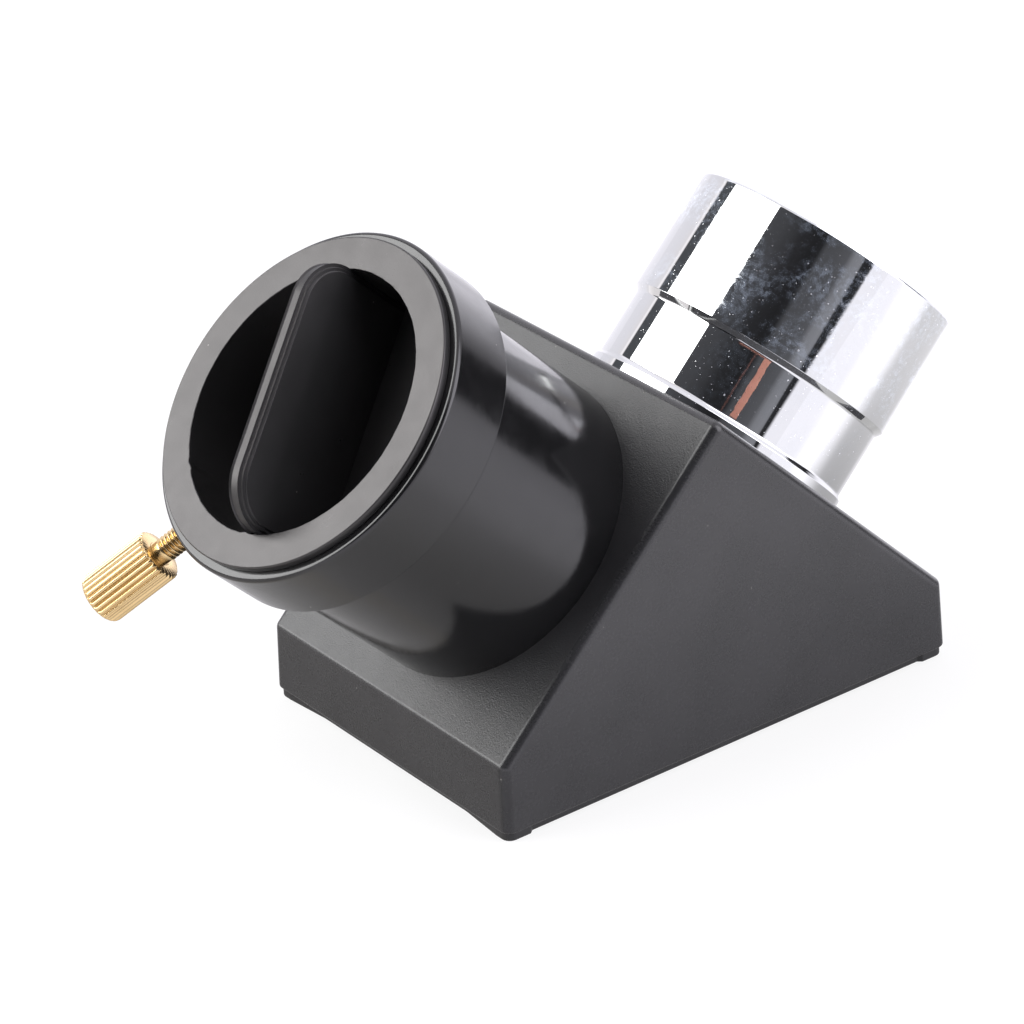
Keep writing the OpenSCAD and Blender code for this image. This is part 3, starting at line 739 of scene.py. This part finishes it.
def knurl(theta, z):
    u = (theta / (2 * math.pi) * KN) % 1.0
    ridge = KR - KD * min(1.0, max(0.0, (abs(u - 0.5) - 0.14) / 0.3)) ** 1.2
    end = min(KR - 0.28 + (z - K0) * 1.2, KR + 0.1)
    top = z - (K0 + KL - 0.75)
    if top > 0:
        end = min(end, KR - 0.78 + math.sqrt(max(0.0, 0.78 ** 2 - top ** 2)) + 0.02)
    return min(ridge, end)


zs = [K0, K0 + 0.03, K0 + 0.1, K0 + 0.2, K0 + 0.3, K0 + 0.45]
zs += [K0 + 0.45 + (KL - 1.25) * i / 8 for i in range(1, 9)]
zs += [K0 + KL - 0.75 + 0.75 * math.sin(math.pi / 2 * i / 8) for i in range(1, 9)]
knob = grid_of_revolution("knob", zs, knurl, SCREW, KN * 12, bore=1.45, depth=4.05)
paint(knob, "brass")
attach(knob, "screw_knob")
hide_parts("lock_knob")

R_ST, TIP = 1.42, 15.9 + 0.35


def thread(theta, z):
    full = R_ST - 0.03
    if z > K0 - 0.85:
        return R_ST - 0.14 if z < K0 - 0.05 else R_ST
    u = (z / 0.5 - theta / (2 * math.pi)) % 1.0
    cut = 0.27 * max(0.0, 1 - abs(u - 0.5) / 0.42)
    end = min(full, R_ST - 0.42 + (z - TIP))
    return min(full - cut * min(1.0, max(0.0, (K0 - 0.85 - z) / 0.3)), end)


zs = [TIP + i * 0.0625 for i in range(int((K0 - 0.9 - TIP) / 0.0625))] + [K0 - 0.86, K0 - 0.84, K0 - 0.06, K0 - 0.04, K0 + 4]
stud = grid_of_revolution("stud", zs, thread, SCREW, 72, 50)
paint(stud, "brass")
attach(stud, "screw_stud")
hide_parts("lock_stud")

# ------------------------------------------------------------------ floor, light, camera
def band(k, v, a, b, soft):
    return k.math("MULTIPLY", k.span(v, a - soft, a + soft), k.span(v, b - soft, b + soft, 1, 0))


def studio(k, d):
    """The light that comes from direction d: a white tent with a dark room behind the camera and one large softbox."""
    sep = k.t.nodes.new("ShaderNodeSeparateXYZ")
    k.link(d, sep.inputs[0])
    az = k.math("MULTIPLY", k.math("ARCTAN2", sep.outputs[1], sep.outputs[0]), 57.29578)
    el = k.math("MULTIPLY", k.math("ARCSINE", sep.outputs[2]), 57.29578)
    # tent and floor
    light = k.span(el, -50, -12, FLOOR_NEAR, FLOOR_FAR)
    light = k.math("MULTIPLY", light, k.math("SUBTRACT", 1.0, k.math("MULTIPLY", band(k, az, 52, 118, 8), k.math("MULTIPLY", band(k, el, -60, -25, 5), 0.25))))
    light = k.math("ADD", light, k.math("MULTIPLY", k.math("MULTIPLY", band(k, az, 25, 56, 6), band(k, el, -30, 8, 7)), 0.35))
    light = k.math("MULTIPLY", light, k.math("SUBTRACT", 1.0, k.math("MULTIPLY", k.math("MULTIPLY", k.span(az, -70, -100), k.span(az, -178, -160)), k.math("MULTIPLY", band(k, el, -58, 2, 6), 0.27))))
    left = k.math("ADD", band(k, az, 146, 200, 5), band(k, az, -200, -171, 1))
    light = k.math("MULTIPLY", light, k.math("SUBTRACT", 1.0, k.math("MULTIPLY", k.math("MULTIPLY", left, band(k, el, -26, 24, 5)), 0.2)))
    light = k.math("MULTIPLY", light, k.span(el, 40, 75, 1.0, 0.85))
    # dark gap at the horizon, and the bright backdrop beside it
    gap = k.math("MULTIPLY", band(k, az, 62.5, 87, 1.5), band(k, el, -7, 14, 2))
    light = k.math("MULTIPLY", light, k.math("SUBTRACT", 1.0, k.math("MULTIPLY", gap, 0.975)))
    drop = k.math("MULTIPLY", band(k, az, 87, 128, 1.5), band(k, el, -8, 35, 5))
    light = k.math("ADD", light, k.math("MULTIPLY", drop, k.span(az, 87, 106, -0.55, 0.65)))
    # softbox on the right
    light = k.math("ADD", light, k.math("MULTIPLY", k.math("MULTIPLY", band(k, az, 8, 61, 1.0), band(k, el, 8, 72, 1.0)), SIDE))
    # dark room
    ramp = k.t.nodes.new("ShaderNodeValToRGB")
    k.link(k.span(az, -100, 2, 0, 1, False), ramp.inputs[0])
    cr = ramp.color_ramp
    stops = [(-100, .095), (-80, .08), (-64, .055), (-56, .036), (-40, .024), (-35, .028), (-31, .1), (-22, .112), (-15, .135),
             (-11.5, .29), (-7.5, .33), (-6, .3), (-5.4, .04), (-2.5, .03), (-1, .05)]
    while len(cr.elements) < len(stops):
        cr.elements.new(0.5)
    for e, (x, v) in zip(cr.elements, stops):
        e.position = (x + 100) / 102
        e.color = (v * 0.96, v * 0.97, v * 1.08, 1)
    room = k.math("MULTIPLY", band(k, az, -99, 0.5, 0.5), band(k, el, 8.7, 66, 1.2))
    n = k.t.nodes.new("ShaderNodeCombineXYZ")
    warm = k.math("MULTIPLY", k.span(az, -70, -110), k.span(az, -179, -165))
    k.link(k.math("MULTIPLY", light, k.math("ADD", 1.0, k.math("MULTIPLY", warm, 0.03))), n.inputs[0])
    k.link(k.math("MULTIPLY", light, 0.98), n.inputs[1])
    k.link(k.math("MULTIPLY", light, k.math("SUBTRACT", k.span(el, -60, -10, 0.99, 1.06), k.math("MULTIPLY", warm, 0.06))), n.inputs[2])
    col = k.mix(room, n.outputs[0], ramp.outputs[0])
    # the softbox and its dark frame
    box = k.math("MULTIPLY", band(k, az, -158.5, -99, 0.6), band(k, el, 6, 60, 1.0))
    edge = k.math("MULTIPLY", band(k, az, -168.5, -99, 0.8), band(k, el, 2, 64, 1.5))
    col = k.mix(edge, col, rgba(0.1, 0.104, 0.115))
    return k.mix(box, col, rgba(KEY))


FLOOR_NEAR, FLOOR_FAR, KEY, SIDE = 1.15, 1.3, 6.65, 2.9
bpy.ops.mesh.primitive_plane_add(size=6.0)
floor = bpy.context.object
floor.name = "floor"
floor.location.z = -0.00005
k = Nodes("floor_white")
k.out(Base_Color=k.mix(k.noise(6, 3), rgba(0.86), rgba(0.875)), Roughness=0.6, Specular_IOR_Level=0.2)
ray = k.t.nodes.new("ShaderNodeLightPath")
glow = k.t.nodes.new("ShaderNodeEmission")
k.link(studio(k, k.vec("MULTIPLY", k.geo.outputs["Incoming"], (-1, -1, -1))), glow.inputs[0])
# reflections of the floor close to the part are in its shade
out_ = k.vec("MAXIMUM", k.vec("SUBTRACT", k.vec("ABSOLUTE", k.vec("MULTIPLY", k.co, (1, 1, 0))), (BW / 2 * MM, BL / 2 * MM, 0)), (0, 0, 0))
k.link(k.span(k.vec("LENGTH", out_), 0.0, 0.05, 0.57, 1.08), glow.inputs[1])
both = k.t.nodes.new("ShaderNodeMixShader")
k.link(ray.outputs["Is Glossy Ray"], both.inputs[0])
white = k.t.nodes.new("ShaderNodeEmission")
k.link(rgba(1.0), white.inputs[0])
seen_floor = k.t.nodes.new("ShaderNodeMixShader")
k.link(k.math("MULTIPLY", ray.outputs["Is Camera Ray"], 0.82), seen_floor.inputs[0])
k.t.links.new(k.bsdf.outputs[0], seen_floor.inputs[1])
k.t.links.new(white.outputs[0], seen_floor.inputs[2])
k.t.links.new(seen_floor.outputs[0], both.inputs[1])
k.t.links.new(glow.outputs[0], both.inputs[2])
k.t.links.new(both.outputs[0], k.t.nodes["Material Output"].inputs[0])
floor.data.materials.append(k.m)

world = bpy.data.worlds.new("studio")
bpy.context.scene.world = world
world.use_nodes = True
wn = Nodes.__new__(Nodes)
wn.t = world.node_tree
wn.t.nodes.clear()
seen = studio(wn, wn.t.nodes.new("ShaderNodeTexCoord").outputs["Generated"])
ray = wn.t.nodes.new("ShaderNodeLightPath")
bg = wn.t.nodes.new("ShaderNodeBackground")
wn.link(wn.mix(ray.outputs["Is Camera Ray"], seen, rgba(1.0)), bg.inputs["Color"])
wout = wn.t.nodes.new("ShaderNodeOutputWorld")
wn.t.links.new(bg.outputs[0], wout.inputs[0])
world.cycles.sampling_method = "MANUAL"
world.cycles.sample_map_resolution = 1024

sc = bpy.context.scene
sc.view_settings.view_transform = "Standard"
sc.view_settings.look = "None"

right = Vector((0.5990, 0.7990, -0.0530))
cam = bpy.data.objects.new("camera", bpy.data.cameras.new("camera"))
sc.collection.objects.link(cam)
cam.data.sensor_width = 36.0
CAM_AT, CAM_ROT, CAM_F = (369.8499, -271.2593, 260.2393), (1.9034955, 0.9163558, -0.6260170), 4757.903
ang = Vector(CAM_ROT).length
rows = Matrix.Rotation(ang, 3, Vector(CAM_ROT).normalized())      # world to view: x right, y down, z ahead
m = Matrix((rows[0], -rows[1], -rows[2])).transposed().to_4x4()
m.translation = Vector(CAM_AT) * MM
cam.matrix_world = m
cam.data.lens = CAM_F * 36.0 / 1024
cam.data.clip_start = 0.01
cam.data.clip_end = 20
sc.camera = cam
